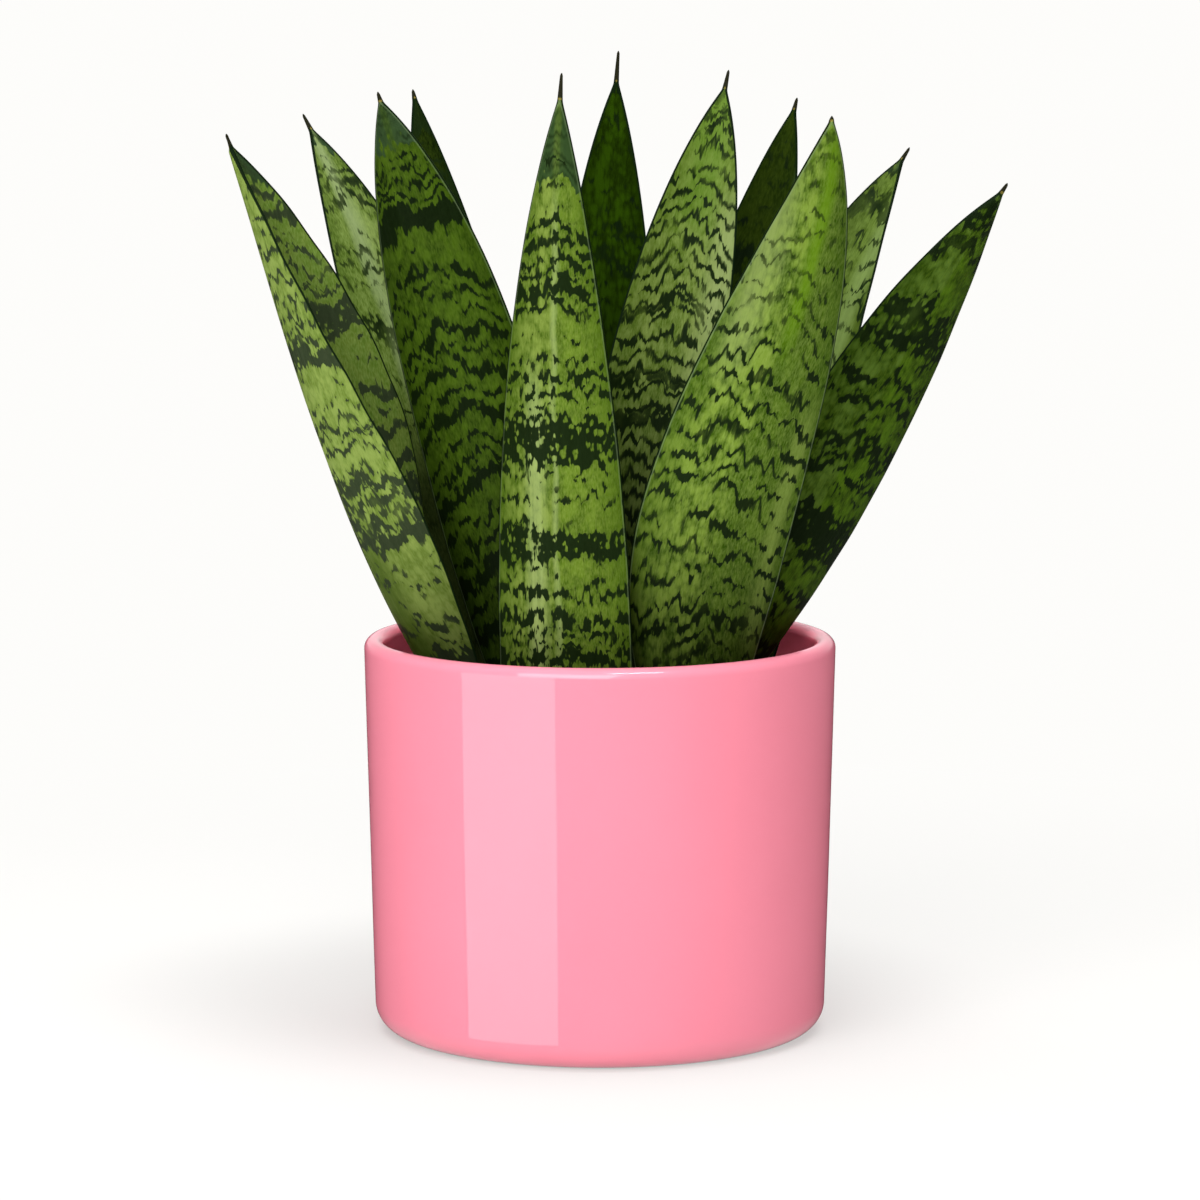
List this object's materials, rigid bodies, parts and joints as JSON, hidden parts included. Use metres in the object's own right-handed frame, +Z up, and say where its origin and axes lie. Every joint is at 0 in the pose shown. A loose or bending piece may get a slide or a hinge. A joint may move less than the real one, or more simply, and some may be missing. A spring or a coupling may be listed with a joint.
{
  "type": "potted snake plant",
  "caption": "Snake plant with stiff, upright, dark-banded sword leaves that end in hard points, growing from soil in a round glazed pot with a flat base.",
  "frame": {"origin": "middle of the pot's flat foot, on the surface that the pot stands on", "axes": "+Z up along the pot's axis, towards the leaf tips; -Y is the front, where the broadest view of the leaves is; +X is to the right seen from the front"},
  "size_m": [0.2414, 0.1514, 0.3096],
  "materials": {
    "glaze": "gloss",
    "earth": "matte",
    "leaf": "satin"
  },
  "bodies": {
    "root": {"pot": "glaze", "soil": "earth", "leaf_front_middle": "leaf", "leaf_front_left": "leaf", "leaf_front_right": "leaf", "leaf_far_right": "leaf", "leaf_left_broad": "leaf", "leaf_left_dark": "leaf", "leaf_left_rear": "leaf", "leaf_rear_middle": "leaf", "leaf_right_pale": "leaf", "leaf_right_dark": "leaf", "leaf_right_rear": "leaf"}
  },
  "joints": []
}
